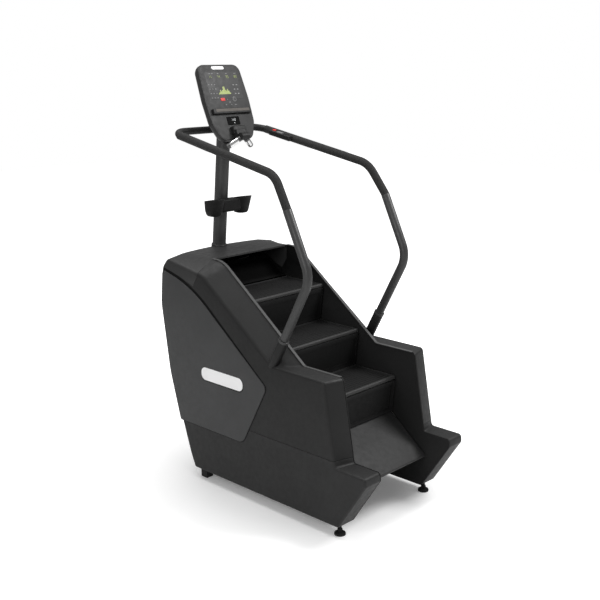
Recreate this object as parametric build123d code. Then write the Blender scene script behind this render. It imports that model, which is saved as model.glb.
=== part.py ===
from build123d import *
import os
from math import atan2, cos, hypot, pi, radians, sin

os.makedirs("parts", exist_ok=True)

# A revolving stair climber.  The user faces +Y, X runs across, the floor is z = 0.
# Profiles are (y, z) pairs in the machine's design frame, millimetres.

# Stairs
STEP_RISE = 203.0
STEP_RUN = 253.7
STEP_COUNT = 8
TREAD_DEPTH = 272.0
TREAD_HALF = 262.0
TREAD_THICK = 22.0
TREAD_SKIN = 4.0
GROOVE_PITCH = 20.0
RISER_THICK = 8.0
RISER_LEAN = 18.0
FOLD_GAP = 20.0
NOSING_1 = (103.0, 1024.0)
AXLE_RADIUS = 8.0
BARREL_RADIUS = 12.0
EDGE_GAP = 4.0

# Chain drive
PITCH_RADIUS = 100.0
SHAFT_RADIUS = 17.0
CHAIN_IN, CHAIN_OUT = 264.8, 271.0
PULLEY_RADIUS = 110.0
SMALL_PULLEY_RADIUS = 25.0
ALTERNATOR = (505.0, 560.0)
BELT_IN, BELT_OUT = 367.0, 377.0

# Side housings
WALL_IN, WALL_OUT = 272.0, 275.7
SHELL_IN, SHELL_OUT = 276.0, 385.0
SKIN = 3.0
PANEL_OUT = 390.0
BASE_SEAM = 387.0
CAP_FRONT = 386.0
CAP_SEAM = 1126.0
SHELL_BOTTOM = 58.0
SHOULDER = 763.0
CAP_TOP = 1200.0
FRONT_TIP = -752.0
REAR_END = 746.0
REAR_BOW = 61.0
FRONT_REACH, REAR_REACH = -751.47, 743.77

# Frame
BEAM_IN, BEAM_OUT = 322.0, 362.0
TUBE = 60.0
TUBE_WALL = 3.0
FOOT_X = 332.0
FOOT_FRONT, FOOT_REAR = -556.0, 404.0
CROSS_MEMBERS = (-140.0, 344.0)
CARRIER_HEIGHT = 1095.0

# Handrail
RAIL_X = 360.0
RAIL_RADIUS = 19.0
LOOP_RADIUS = 16.0
GRIP_RADIUS = 19.5
RAIL_FOOT = (RAIL_X, -68.0, 620.0)
RAIL_ELBOW = (RAIL_X, -383.0, 1228.0)
RAIL_JOIN = (RAIL_X, -236.0, 1535.0)
LOOP_ELBOW = (340.0, -137.0, 1683.0)
LOOP_CORNER = (308.0, 642.0, 1836.0)

# Console
CONSOLE_TILT = 21.8
CONSOLE_CENTRE = (0.0, 546.0, 1980.0)
CONSOLE_DEPTH = 60.0
FACE_THICK = 6.0
POST_RADIUS = 37.0
POST_LOW = (0.0, 652.0, 1090.0)
POST_HIGH = (0.0, 582.0, 1885.0)

INCLINE = atan2(STEP_RISE, STEP_RUN)
STEP_PITCH = hypot(STEP_RISE, STEP_RUN)
DOWN = (-cos(INCLINE), -sin(INCLINE))
OUTWARD = (-sin(INCLINE), cos(INCLINE))
Y_SHIFT = -(FRONT_REACH + REAR_REACH) / 2


def save(shape, node):
    export_step(Location((0, Y_SHIFT, 0)) * shape, f"parts/{node}.step")


def group(*shapes):
    """Several separate pieces that share one node."""
    return Compound([solid for shape in shapes for solid in shape.solids()])


def both_sides(shape):
    """A right-hand piece with its mirror image."""
    return group(shape, mirror(shape, Plane.YZ))


def save_pair(shape, node):
    save(both_sides(shape), node)


def offset_point(point, direction, distance):
    return tuple(p + distance * d for p, d in zip(point, direction))


def profile(points, radii, x):
    """A filleted (y, z) outline as a face in the plane at x."""
    line = FilletPolyline(*points, radius=radii, close=True)
    return Plane.YZ.offset(x) * make_face(line)


def slab(points, radii, x0, x1):
    return extrude(profile(points, radii, x0), x1 - x0)


def block(x0, x1, y0, y1, z0, z1):
    centre = ((x0 + x1) / 2, (y0 + y1) / 2, (z0 + z1) / 2)
    return Location(centre) * Box(x1 - x0, y1 - y0, z1 - z0)


def rod_x(centre, radius, x0, x1):
    return extrude(Plane.YZ.offset(x0) * Pos(*centre) * Circle(radius), x1 - x0)


def rod_between(start, end, radius):
    axis = Vector(*end) - Vector(*start)
    return extrude(Plane(origin=start, z_dir=axis) * Circle(radius), axis.length)


def bent_tube(points, bends, outer, inner=0.0):
    path = FilletPolyline(*points, radius=bends) if len(points) > 2 else Line(*points)
    section = Plane(origin=path @ 0, z_dir=path % 0)
    tube = sweep(section * Circle(outer), path=path)
    return tube - sweep(section * Circle(inner), path=path) if inner else tube


def towards(start, end, distance):
    direction = (Vector(*end) - Vector(*start)).normalized()
    return tuple(Vector(*start) + direction * distance)


def chain_frame(point, along, outward):
    """A plane whose x runs along the chain and whose z points out of the loop."""
    return Plane(
        origin=(0, point[0], point[1]),
        x_dir=(0, along[0], along[1]),
        z_dir=(0, outward[0], outward[1]),
    )


# ---------------------------------------------------------------- stairs

AXLE_1 = (NOSING_1[0] + TREAD_DEPTH, NOSING_1[1] - TREAD_THICK / 2)
SHAFT_DISTANCE = (STEP_COUNT * STEP_PITCH - 2 * pi * PITCH_RADIUS) / 2
UPPER_SHAFT = offset_point(AXLE_1, OUTWARD, -PITCH_RADIUS)
LOWER_SHAFT = offset_point(UPPER_SHAFT, DOWN, SHAFT_DISTANCE)
UP = (-DOWN[0], -DOWN[1])
INWARD = (-OUTWARD[0], -OUTWARD[1])
AXLE_5 = offset_point(LOWER_SHAFT, INWARD, PITCH_RADIUS)


def tread(length):
    """A grooved, ribbed tread lying along local +X from its hinge line, top at +Z."""
    half = TREAD_THICK / 2
    body = Pos(length / 2, 0, 0) * Box(length, 2 * TREAD_HALF, TREAD_THICK)
    nose = body.edges().filter_by(Axis.Y).group_by(Axis.X)[-1]
    body = fillet(nose, half * 0.8)
    bays = 4
    bay = (2 * TREAD_HALF - (bays + 1) * TREAD_SKIN) / bays
    pocket_length = length - BARREL_RADIUS - 4 * TREAD_SKIN
    for index in range(bays):
        y = -TREAD_HALF + TREAD_SKIN + bay / 2 + index * (bay + TREAD_SKIN)
        pocket = Box(pocket_length, bay, TREAD_THICK)
        body -= Pos(BARREL_RADIUS + TREAD_SKIN + pocket_length / 2, y, -TREAD_SKIN) * pocket
    groove = Box(3, 2 * TREAD_HALF - 2 * GROOVE_PITCH, 2.4)
    for index in range(int(length / GROOVE_PITCH) - 1):
        body -= Pos((index + 1.5) * GROOVE_PITCH, 0, half) * groove
    barrel = Rot(90, 0, 0) * Cylinder(BARREL_RADIUS, 2 * TREAD_HALF)
    bore = Rot(90, 0, 0) * Cylinder(AXLE_RADIUS, 2 * TREAD_HALF + 2)
    return body + barrel - bore


def axle():
    return Rot(90, 0, 0) * Cylinder(AXLE_RADIUS, 2 * (CHAIN_IN - 0.5))


def riser(top, bottom):
    """A riser plate between two (y, z) edges, with a folded stiffening lip along its top."""
    length = hypot(top[0] - bottom[0], top[1] - bottom[1])
    along = ((bottom[0] - top[0]) / length, (bottom[1] - top[1]) / length)
    plane = chain_frame(top, along, (along[1], -along[0]))
    plate = Pos(length / 2, 0, RISER_THICK / 2) * Box(length, 2 * TREAD_HALF, RISER_THICK)
    window = Box(length - 50, 2 * TREAD_HALF - 60, RISER_THICK / 2)
    plate -= Pos(length / 2, 0, RISER_THICK) * window
    return plane * plate


def front_step(number):
    """A step standing open on the front run: level tread, near-vertical riser, hinge axle."""
    axle_at = offset_point(AXLE_1, DOWN, (number - 1) * STEP_PITCH)
    frame = chain_frame(axle_at, (-1, 0), (0, 1))
    nosing = (axle_at[0] - TREAD_DEPTH, axle_at[1] - TREAD_THICK / 2)
    foot = (nosing[0] + RISER_LEAN, nosing[1] - STEP_RISE + BARREL_RADIUS + TREAD_THICK / 2 + EDGE_GAP)
    inset = RISER_THICK / 2
    save(group(frame * tread(TREAD_DEPTH), frame * axle()), f"step_{number}_tread")
    save(riser((nosing[0] + inset, nosing[1]), (foot[0] + inset, foot[1])), f"step_{number}_riser")


def folded_riser(length):
    plate = Box(length, 2 * TREAD_HALF, RISER_THICK)
    links = Box(TREAD_SKIN * 3, 2 * TREAD_HALF, FOLD_GAP - TREAD_THICK / 2 - RISER_THICK / 2)
    link_z = -(FOLD_GAP + TREAD_THICK / 2 - RISER_THICK / 2) / 2
    return Pos(length / 2 + 3 * BARREL_RADIUS, 0, -FOLD_GAP) * plate + Pos(
        length + 2 * BARREL_RADIUS, 0, link_z
    ) * links


def folded_step(point, along, outward):
    frame = chain_frame(point, along, outward)
    length = TREAD_DEPTH + BARREL_RADIUS - 2
    return frame * tread(length), frame * folded_riser(STEP_RISE - 2 * BARREL_RADIUS), frame * axle()


def lowest_step():
    """The step that has folded flat along the chain as it reaches the lower sprockets."""
    axle_at = offset_point(AXLE_1, DOWN, 3 * STEP_PITCH)
    plate, under_plate, rod = folded_step(axle_at, DOWN, OUTWARD)
    save(group(plate, rod), "step_4_tread")
    save(under_plate, "step_4_riser")


def return_steps():
    for index in range(3):
        axle_at = offset_point(AXLE_5, UP, index * STEP_PITCH)
        save(group(*folded_step(axle_at, UP, INWARD)), f"step_{index + 5}")


def emerging_step():
    """The step that opens as it comes over the upper sprockets."""
    axle_at = offset_point(AXLE_5, UP, 3 * STEP_PITCH)
    lean = 9.4
    along = (sin(radians(lean)), cos(radians(lean)))
    length = TREAD_DEPTH + BARREL_RADIUS - 2
    plate = chain_frame(axle_at, along, (along[1], -along[0])) * tread(length)
    tip = offset_point(axle_at, along, length)
    gap = hypot(tip[0] - AXLE_1[0], tip[1] - AXLE_1[1])
    reach = ((tip[0] - AXLE_1[0]) / gap, (tip[1] - AXLE_1[1]) / gap)
    low = offset_point(AXLE_1, reach, BARREL_RADIUS + EDGE_GAP + 2)
    high = offset_point(AXLE_1, reach, gap - TREAD_THICK)
    rod = chain_frame(axle_at, along, (along[1], -along[0])) * axle()
    save(group(plate, rod, riser(high, low)), "step_8")


# ---------------------------------------------------------------- drive


def sprocket(centre):
    """A toothed plate with its hub, on the right-hand side."""
    disc = rod_x(centre, PITCH_RADIUS - 6, CHAIN_IN + 1, CHAIN_OUT - 1)
    for index in range(6):
        angle = 2 * 3.14159265 * index / 6
        hole_at = (centre[0] + 0.6 * PITCH_RADIUS * cos(angle), centre[1] + 0.6 * PITCH_RADIUS * sin(angle))
        disc -= rod_x(hole_at, 0.17 * PITCH_RADIUS, CHAIN_IN, CHAIN_OUT)
    return disc - rod_x(centre, SHAFT_RADIUS, CHAIN_IN, CHAIN_OUT)


def chain_loop():
    """One roller-chain loop as a closed ring around both sprockets."""
    ring = []
    for radius in (PITCH_RADIUS + 6, PITCH_RADIUS - 5):
        ends = [Pos(*UPPER_SHAFT) * Circle(radius), Pos(*LOWER_SHAFT) * Circle(radius)]
        hull = make_hull([edge for end in ends for edge in end.edges()])
        ring.append(Plane.YZ.offset(CHAIN_IN) * hull)
    return extrude(ring[0], CHAIN_OUT - CHAIN_IN) - extrude(ring[1], CHAIN_OUT - CHAIN_IN)


def shafts():
    end = BEAM_OUT + 16
    save(rod_x(UPPER_SHAFT, SHAFT_RADIUS, -end, BEAM_IN), "upper_shaft")
    save(rod_x(LOWER_SHAFT, SHAFT_RADIUS, -BEAM_IN, BEAM_IN), "lower_shaft")
    save_pair(sprocket(UPPER_SHAFT), "upper_sprockets")
    save_pair(sprocket(LOWER_SHAFT), "lower_sprockets")
    save_pair(chain_loop(), "step_chains")


def bearing(centre):
    housing = Pos(0, centre[0], centre[1]) * block(WALL_OUT + 8, BEAM_IN, -32, 32, -32, 32)
    housing = fillet(housing.edges().filter_by(Axis.X), 8)
    return housing - rod_x(centre, SHAFT_RADIUS + 0.05, 0, BEAM_OUT)


def bearings():
    save_pair(group(bearing(UPPER_SHAFT), bearing(LOWER_SHAFT)), "shaft_bearings")


def pulley(centre, radius, bore):
    wheel = rod_x(centre, radius, -BELT_OUT, -BELT_IN)
    return wheel - rod_x(centre, bore, -BELT_OUT - 1, -BELT_IN + 1)


def alternator():
    inner = -TREAD_HALF + 2
    body = rod_x(ALTERNATOR, 62, inner, inner + 105)
    body = fillet(body.edges().filter_by(GeomType.CIRCLE), 6)
    body -= rod_x(ALTERNATOR, 45, inner + 8, inner + 97)
    body -= rod_x(ALTERNATOR, 8.56, inner - 1, inner + 20)
    rotor = rod_x(ALTERNATOR, 44, inner + 12, inner + 90)
    rotor += rod_x(ALTERNATOR, 8.5, -BELT_OUT - 3, inner + 20)
    arm = block(inner + 20, inner + 80, ALTERNATOR[0] - 30, ALTERNATOR[0] + 30, 300, ALTERNATOR[1] - 50)
    arm += block(inner + 20, inner + 80, 384, ALTERNATOR[0] + 30, 300, 320)
    arm += block(inner + 20, inner + 80, 384, 404, SHELL_BOTTOM + 6 + TUBE, 320)
    arm -= rod_x(ALTERNATOR, 62.1, inner, inner + 105)
    save(body, "alternator_housing")
    save(rotor + pulley(ALTERNATOR, SMALL_PULLEY_RADIUS, 8), "alternator_rotor")
    save(arm, "alternator_bracket")
    save(pulley(UPPER_SHAFT, PULLEY_RADIUS, SHAFT_RADIUS), "drive_pulley")


def drive_belt():
    rings = []
    for extra in (4.0, 0.4):
        ends = [
            Pos(*UPPER_SHAFT) * Circle(PULLEY_RADIUS + extra),
            Pos(*ALTERNATOR) * Circle(SMALL_PULLEY_RADIUS + extra),
        ]
        hull = make_hull([edge for end in ends for edge in end.edges()])
        rings.append(extrude(Plane.YZ.offset(-BELT_OUT) * hull, BELT_OUT - BELT_IN))
    save(rings[0] - rings[1], "drive_belt")


# ---------------------------------------------------------------- frame


def box_tube(length_axis, x0, x1, y0, y1, z0, z1):
    outer = block(x0, x1, y0, y1, z0, z1)
    grow = {axis: (0 if axis == length_axis else TUBE_WALL) for axis in "xyz"}
    return outer - block(
        x0 + grow["x"], x1 - grow["x"], y0 + grow["y"], y1 - grow["y"], z0 + grow["z"], z1 - grow["z"]
    )


def incline_beam():
    """The sloping side member that carries both shafts' bearings."""
    reach = SHAFT_DISTANCE + TUBE
    plane = chain_frame(offset_point(UPPER_SHAFT, UP, TUBE / 2), DOWN, OUTWARD)
    middle = (BEAM_IN + BEAM_OUT) / 2
    tube = Box(reach, BEAM_OUT - BEAM_IN, TUBE) - Box(
        reach, BEAM_OUT - BEAM_IN - 2 * TUBE_WALL, TUBE - 2 * TUBE_WALL
    )
    beam = plane * (Pos(reach / 2, 0, 0) * tube)
    beam = Pos(middle - beam.center(CenterOf.BOUNDING_BOX).X, 0, 0) * beam
    return beam - rod_x(UPPER_SHAFT, SHAFT_RADIUS + 3, 0, BEAM_OUT + 1)


def beam_height(y, side):
    """Height of the beam's upper (+1) or lower (-1) face above y."""
    slope = STEP_RISE / STEP_RUN
    return UPPER_SHAFT[1] + (y - UPPER_SHAFT[0]) * slope + side * TUBE / 2 / cos(INCLINE)


def upright(y0, y1, z0):
    """A box tube standing on the base rail, mitred to the underside of the sloping beam."""
    tall = box_tube("z", BEAM_IN, BEAM_OUT, y0, y1, z0, beam_height(y1, 1))
    cut = [(y0 - 200, beam_height(y0 - 200, -1)), (y1 + 200, beam_height(y1 + 200, -1))]
    cut += [(y1 + 200, 2000), (y0 - 200, 2000)]
    return tall - slab(cut, 0, BEAM_IN - 1, BEAM_OUT + 1)


def frame():
    base_low, base_high = SHELL_BOTTOM + 6, SHELL_BOTTOM + 6 + TUBE
    x0, x1 = FOOT_X - 25, FOOT_X + 25
    rail = box_tube("y", x0, x1, FOOT_FRONT - 22, FOOT_REAR + 20, base_low, base_high)
    rail -= Pos(FOOT_X, FOOT_FRONT, base_low) * Cylinder(8.05, 20)
    save_pair(rail, "base_rails")
    crosses = [box_tube("x", -x0, x0, y, y + TUBE, base_low, base_high) for y in CROSS_MEMBERS]
    save(group(*crosses), "cross_members")
    front = upright(LOWER_SHAFT[0] - 30, LOWER_SHAFT[0] + 30, base_high)
    rear = upright(UPPER_SHAFT[0] - 70, UPPER_SHAFT[0] - 10, base_high)
    save_pair(group(front, rear), "uprights")
    mount = block(BEAM_IN, RAIL_X + RAIL_RADIUS, RAIL_FOOT[1] - 26, RAIL_FOOT[1] + 34, 480, 609)
    below = [(-400, beam_height(-400, 1)), (400, beam_height(400, 1)), (400, 0), (-400, 0)]
    mount -= slab(below, 0, BEAM_IN - 1, RAIL_X + 30)
    save_pair(incline_beam() + mount, "incline_beams")
    save(post_carrier(), "post_carrier")


def post_carrier():
    """The bridge behind the stairs that holds the console post."""
    low, high = CARRIER_HEIGHT, CARRIER_HEIGHT + 12
    arm = beam_height(427, -1) - 12
    carrier = block(-BEAM_OUT, BEAM_OUT, 600, 640, low, high) + block(-70, 70, 600, 700, low, high)
    for side in (-1, 1):
        x = sorted((side * BEAM_IN, side * BEAM_OUT))
        carrier += block(*x, 600, 640, arm - 40, low)
        carrier += block(*x, 428, 640, arm - 40, arm)
    return carrier - rod_between(POST_LOW, POST_HIGH, POST_RADIUS + 0.05)


def levelling_foot(y):
    pad = Pos(FOOT_X, y, 6) * Cylinder(28, 12)
    pad = fillet(pad.edges().group_by(Axis.Z)[-1], 4)
    stem = Pos(FOOT_X, y, 40) * Cylinder(8, 60)
    nut = Pos(FOOT_X, y, 22) * extrude(RegularPolygon(13, 6), 9)
    return pad + stem + nut


def feet():
    front = levelling_foot(FOOT_FRONT)
    save(front, "front_foot_right")
    save(mirror(front, Plane.YZ), "front_foot_left")
    rubber = block(FOOT_X - 22, FOOT_X + 22, FOOT_REAR - 22, FOOT_REAR + 22, 0, SHELL_BOTTOM + 6)
    save_pair(fillet(rubber.edges().group_by(Axis.Z)[0], 5), "rear_feet")


# ---------------------------------------------------------------- housings

CORNER_REAR = REAR_END - REAR_BOW
REAR_POINTS = [(667, 1135), (CORNER_REAR, 940), (627, 569), (478, 136), (444, SHELL_BOTTOM)]
REAR_RADII = [50, 300, 500, 500, 20]
TOE_POINTS = [(-585, SHELL_BOTTOM), (FRONT_TIP, 318), (-748, 358)]
TOE_RADII = [20, 18, 18]


def bow(x):
    """How far the bowed rear stands behind its corners at x."""
    return REAR_BOW * (1 - (x / SHELL_OUT) ** 2)


def bowed(points, x):
    return [(y + bow(x), z) for y, z in points]


def side_points(inner):
    """The housing's side outline at its inner or its outer face."""
    if inner:
        body = [(-592, 358), (-518, SHOULDER), (-269, SHOULDER), (305, CAP_TOP)]
        return TOE_POINTS + body + bowed([(596, CAP_TOP)] + REAR_POINTS, SHELL_IN)
    body = [(-564, 358), (-490, SHOULDER), (-152, SHOULDER), (351, 1132), (628, 1184)]
    return TOE_POINTS + body + REAR_POINTS


SIDE_RADII = TOE_RADII + [14, 22, 30, 150, 32] + REAR_RADII


def side_face(inner, x, shrink=0.0):
    face = profile(side_points(inner), SIDE_RADII, x)
    return offset(face, -shrink) if shrink else face


def side_hull():
    """One side housing: a thin shell, open towards the stairs and along the floor."""
    solid = loft([side_face(True, SHELL_IN), side_face(False, SHELL_OUT)], ruled=True)
    hollow = loft([side_face(True, SHELL_IN, SKIN), side_face(False, SHELL_OUT - SKIN, SKIN)], ruled=True)
    floor_cut = block(SHELL_IN - 1, SHELL_OUT - SKIN, -570, 430, SHELL_BOTTOM - 1, SHELL_BOTTOM + 5)
    sleeve = rod_between(RAIL_FOOT, RAIL_ELBOW, RAIL_RADIUS + 3.5)
    return solid - hollow - floor_cut - sleeve


def middle_body(half):
    """The bowed middle block whose skin makes the cap and the rear panel."""
    radii = [0, 40] + REAR_RADII + [0]
    outer, inner = [], []
    for x in (-half, 0, half):
        back = bowed([(596, CAP_TOP)] + REAR_POINTS, x)
        face = profile([(305, CAP_TOP)] + back + [(305, SHELL_BOTTOM)], radii, x)
        outer.append(face)
        inner.append(offset(face, -SKIN))
    hollow = loft(inner) + extrude(inner[0], -2) + extrude(inner[2], 2)
    return loft(outer) - hollow


def housings():
    hull = side_hull()
    far = 2000
    cap_zone = block(0, far, CAP_FRONT, far, CAP_SEAM, far)
    base_zone = block(0, far, -far, far, 0, BASE_SEAM)
    upper = hull - block(0, far, CAP_FRONT - 1.5, far, CAP_SEAM - 1.5, far) - base_zone
    upper -= block(0, far, -far, far, 0, BASE_SEAM + 1.5)
    save_pair(upper, "side_shells")
    save_pair(hull & base_zone, "base_shells")
    post_hole = rod_between(POST_LOW, POST_HIGH, POST_RADIUS + 1)
    centre_cap = middle_body(SHELL_IN) & block(-far, far, CAP_FRONT, far, CAP_SEAM, far)
    side_cap = hull & cap_zone
    cap = centre_cap + side_cap + mirror(side_cap, Plane.YZ) + post_collar() - post_hole
    save(cap, "top_cap")
    rear = middle_body(WALL_IN - 0.2) & block(-far, far, 400, far, SHELL_BOTTOM + 8, CAP_SEAM - 1.5)
    inlet_hole = block(-262, -206, 400, far, 150, 190)
    save(rear - inlet_hole, "rear_panel")
    save(block(-261, -207, 492, 532, 151, 189) - block(-250, -218, 518, 533, 158, 182), "power_inlet")


def inner_wall():
    wall = slab(side_points(True), SIDE_RADII, WALL_IN, WALL_OUT)
    for centre in (UPPER_SHAFT, LOWER_SHAFT):
        wall -= rod_x(centre, SHAFT_RADIUS + 6, WALL_IN - 1, WALL_OUT + 1)
    wall -= rod_x(ALTERNATOR, SHAFT_RADIUS, WALL_IN - 1, WALL_OUT + 1)
    for y in CROSS_MEMBERS:
        wall -= block(WALL_IN - 1, WALL_OUT + 1, y - 2, y + TUBE + 2, 0, SHELL_BOTTOM + TUBE + 8)
    wall -= block(WALL_IN - 1, WALL_OUT + 1, 595, 650, CARRIER_HEIGHT - 4, CAP_TOP)
    return wall - block(0, 400, CAP_FRONT - 2, 900, CAP_SEAM - 2, 1300)


def rim_trim():
    """The pale strip that caps the inner wall along the stairs."""
    band = offset(profile(side_points(True), SIDE_RADII, 266), 2.5) - profile(side_points(True), SIDE_RADII, 266)
    strip = extrude(band, 16)
    return strip & block(0, 400, -500, CAP_FRONT - 3, SHOULDER - 1, 1300)


PANEL_POINTS = [
    (651, 1120), (430, 1060), (-118, 642), (55, 310), (546, 310), (622, 569), (679, 940), (664, 1090),
]
PANEL_RADII = [12, 750, 34, 50, 14, 500, 300, 30]


def side_panel():
    panel = slab(PANEL_POINTS, PANEL_RADII, SHELL_OUT + 0.1, PANEL_OUT)
    return chamfer(panel.faces().sort_by(Axis.X)[-1].edges(), 2)


def badge():
    centre, length, height = (205, 617), 312, 68
    plane = Plane.YZ.offset(PANEL_OUT) * Pos(*centre)
    plate = extrude(plane * RectangleRounded(length, height, 0.45 * height), 2)
    return chamfer(plate.faces().sort_by(Axis.X)[-1].edges(), 0.8)


def console_badge():
    return CONSOLE * (Pos(-18, 190, 0) * extrude(RectangleRounded(86, 18, 8.5), 1.6))


def trims():
    save_pair(inner_wall(), "inner_walls")
    save_pair(rim_trim(), "rim_trims")
    save_pair(side_panel(), "side_panels")
    save(group(both_sides(badge()), console_badge()), "blank_badges")


# ---------------------------------------------------------------- handrail


def lower_rail():
    end = towards(RAIL_JOIN, RAIL_ELBOW, 6)
    return bent_tube([RAIL_FOOT, RAIL_ELBOW, end], 70, RAIL_RADIUS, RAIL_RADIUS - 2.5)


def rail_socket():
    """The collar that closes the housing around the rail."""
    low = towards(RAIL_FOOT, RAIL_ELBOW, 150)
    high = towards(RAIL_FOOT, RAIL_ELBOW, 322)
    rim = towards(RAIL_FOOT, RAIL_ELBOW, 314)
    collar = rod_between(low, high, RAIL_RADIUS + 2.5) + rod_between(rim, high, RAIL_RADIUS + 4)
    return collar - rod_between(RAIL_FOOT, RAIL_ELBOW, RAIL_RADIUS + 0.1)


def mirrored(point):
    return (-point[0], point[1], point[2])


def upper_loop():
    start = towards(RAIL_JOIN, RAIL_ELBOW, 60)
    right = [start, RAIL_JOIN, LOOP_ELBOW, LOOP_CORNER]
    points = right + [mirrored(point) for point in reversed(right)]
    return bent_tube(points, [150, 60, 90, 90, 60, 150], LOOP_RADIUS, LOOP_RADIUS - 2.5)


def loop_grip():
    start = towards(RAIL_JOIN, LOOP_ELBOW, 14)
    end = towards(LOOP_CORNER, LOOP_ELBOW, 110)
    return bent_tube([start, LOOP_ELBOW, end], 60, GRIP_RADIUS, LOOP_RADIUS + 0.1)


def handrail():
    save_pair(lower_rail(), "lower_rails")
    save_pair(rail_socket(), "rail_sockets")
    save_pair(loop_grip(), "rail_grips")
    save(upper_loop(), "rail_loop")


# Rail control: a pod on the inner side of the right-hand rail.
POD_FRAME = Plane(
    origin=towards(LOOP_CORNER, LOOP_ELBOW, 205),
    x_dir=Vector(*LOOP_CORNER) - Vector(*LOOP_ELBOW),
    z_dir=(0, -sin(radians(11)), cos(radians(11))),
)
POD_LENGTH, POD_WIDTH, POD_HEIGHT = 150.0, 34.0, 30.0
POD_SIDE = -(GRIP_RADIUS + POD_WIDTH / 2 - 4)
BUTTON_X, ROCKER_X = 50.0, -38.0


def pod_side():
    """Local y that points from the rail towards the user."""
    return POD_SIDE if POD_FRAME.y_dir.X > 0 else -POD_SIDE


def rail_contact_plate():
    return POD_FRAME * (Pos(5, pod_side(), 1.8 + POD_HEIGHT / 2) * Box(41, 21, 2))


def rail_control():
    y = pod_side()
    body = Pos(0, y, 2) * Box(POD_LENGTH, POD_WIDTH, POD_HEIGHT)
    body = fillet(body.edges().filter_by(Axis.X), 9)
    body = fillet(body.edges().filter_by(Axis.Z), 4)
    body -= Rot(0, 90, 0) * Cylinder(GRIP_RADIUS + 0.1, POD_LENGTH + 10)
    body -= Pos(BUTTON_X, y, 13) * Cylinder(10.5, 16)
    body -= Pos(ROCKER_X, y, 13) * Box(37, 19, 16)
    body -= Pos(5, y, 16.5) * Box(42, 22, 4)
    top = 2 + POD_HEIGHT / 2
    button = Pos(BUTTON_X, y, top - 1) * Cylinder(10, 12)
    button = fillet(button.edges().group_by(Axis.Z)[-1], 2)
    rocker = Pos(ROCKER_X, y, top - 1) * Box(35, 17, 8)
    rocker = fillet(rocker.edges().group_by(Axis.Z)[-1], 1.5)
    save(POD_FRAME * body, "rail_control_body")
    save(POD_FRAME * button, "rail_stop_button")
    save(POD_FRAME * rocker, "rail_speed_rocker")


# ---------------------------------------------------------------- console

TILT = radians(CONSOLE_TILT)
CONSOLE = Plane(origin=CONSOLE_CENTRE, x_dir=(1, 0, 0), z_dir=(0, -cos(TILT), sin(TILT)))
CONSOLE_POINTS = [
    (-146, 211), (146, 211), (157, 20), (151, -110), (108, -204), (-108, -204), (-151, -110), (-157, 20),
]
CONSOLE_RADII = [46, 46, 300, 70, 52, 52, 70, 300]
STOP_KEY_AT, START_KEY_AT = (-32.0, 18.0), (50.0, 18.0)


def console_outline(shrink=0.0):
    face = make_face(FilletPolyline(*CONSOLE_POINTS, radius=CONSOLE_RADII, close=True))
    return offset(face, -shrink) if shrink else face


def console_shells():
    back = Pos(0, 0, -CONSOLE_DEPTH) * extrude(console_outline(), CONSOLE_DEPTH - FACE_THICK - 0.5)
    back = fillet(back.faces().sort_by(Axis.Z)[0].edges(), 14)
    back -= Pos(0, 0, -CONSOLE_DEPTH + SKIN) * extrude(console_outline(SKIN), CONSOLE_DEPTH)
    front = Pos(0, 0, -FACE_THICK) * extrude(console_outline(), FACE_THICK)
    front = fillet(front.faces().sort_by(Axis.Z)[-1].edges(), 4)
    front -= Pos(*STOP_KEY_AT, -3) * Box(30.4, 16.4, 8)
    front -= Pos(*START_KEY_AT, -3) * Cylinder(13.2, 8)
    front -= Pos(0, 95, 0) * Box(232, 150, 3)
    front -= Pos(0, -126, 0) * Box(86, 46, 6)
    save(CONSOLE * back, "console_back")
    save(CONSOLE * front, "console_face")


def console_details():
    display = Pos(0, 95, -0.8) * Box(231, 149, 1.2)
    display -= Pos(*STOP_KEY_AT, 0) * Box(33, 19, 8)
    display -= Pos(*START_KEY_AT, 0) * Cylinder(15, 8)
    small = Pos(0, -126, -0.6) * Box(85, 45, 3)
    stop = fillet((Pos(*STOP_KEY_AT, -1.5) * Box(30, 16, 7)).edges().filter_by(Axis.Z), 3)
    start = Pos(*START_KEY_AT, -1.5) * Cylinder(13, 7)
    ledge = Pos(8, -70, 9) * Box(262, 22, 18)
    ledge = fillet(ledge.edges().filter_by(Axis.X).group_by(Axis.Z)[-1], 6)
    ledge -= Pos(8, -64, 12) * Box(246, 14, 14)
    board = Pos(0, 40, -22) * Box(220, 260, 2)
    for side in (-1, 1):
        board += Pos(side * 90, 40, -40) * Cylinder(5, 34)
    for piece, node in (
        (display, "console_display"), (small, "lower_display"), (stop, "console_stop_key"),
        (start, "console_start_key"), (ledge, "media_ledge"),
        (board, "console_circuit_board"),
    ):
        save(CONSOLE * piece, node)


def console_post():
    post = bent_tube([POST_LOW, POST_HIGH], 0, POST_RADIUS, POST_RADIUS - 3)
    beyond = CONSOLE * (Pos(0, 0, 500 - CONSOLE_DEPTH - 6) * Box(1000, 2000, 1000))
    plate = Pos(0, -130, -CONSOLE_DEPTH - 3) * Box(110, 150, 6)
    plate = CONSOLE * fillet(plate.edges().filter_by(Axis.Z), 12)
    save((post - beyond) + plate, "console_post")


def post_collar():
    """The raised ring of the cap that closes it around the post."""
    rise = CAP_TOP - POST_LOW[2]
    low, high = (towards(POST_LOW, POST_HIGH, rise + step) for step in (-10, 12))
    collar = rod_between(low, high, POST_RADIUS + 6)
    return collar & block(-100, 100, 400, 800, CAP_TOP - SKIN, CAP_TOP + 100)


CUP_X, CUP_Y, CUP_TOP, CUP_DEPTH = 98.0, 566.0, 1476.0, 92.0
CUP_RADIUS, CUP_BASE_RADIUS, CUP_WALL = 52.0, 42.0, 4.0


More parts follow.
